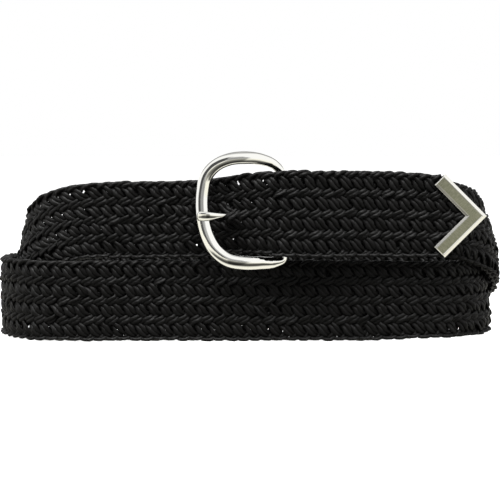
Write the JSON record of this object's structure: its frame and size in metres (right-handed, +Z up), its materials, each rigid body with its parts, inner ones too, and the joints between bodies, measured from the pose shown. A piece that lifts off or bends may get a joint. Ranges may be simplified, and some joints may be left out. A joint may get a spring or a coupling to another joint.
{
  "type": "braided belt",
  "caption": "Braided cord belt with a D-shaped pin buckle and a V-shaped metal tip, buckled and standing on edge as a coil of its own strap.",
  "frame": {"origin": "on the surface that the belt stands on, under the middle of the coil's box", "axes": "+X right along the front of the coil, the way the free end points; +Y from the buckle side to the back; +Z up across the strap's width"},
  "size_m": [0.2177, 0.0894, 0.0798],
  "materials": {
    "braided_cord": "near-black cord, two smooth round cords side by side in every strand, softly shiny on their crowns",
    "polished_nickel": "warm polished nickel plating, mirror-bright with faint fine wear",
    "brushed_metal": "fine brushed grey metal field between polished bevelled edges"
  },
  "bodies": {
    "root": {"braided_strap": "braided_cord", "buckle_frame": "polished_nickel", "prong": "polished_nickel", "strap_tip": "brushed_metal"}
  },
  "joints": []
}
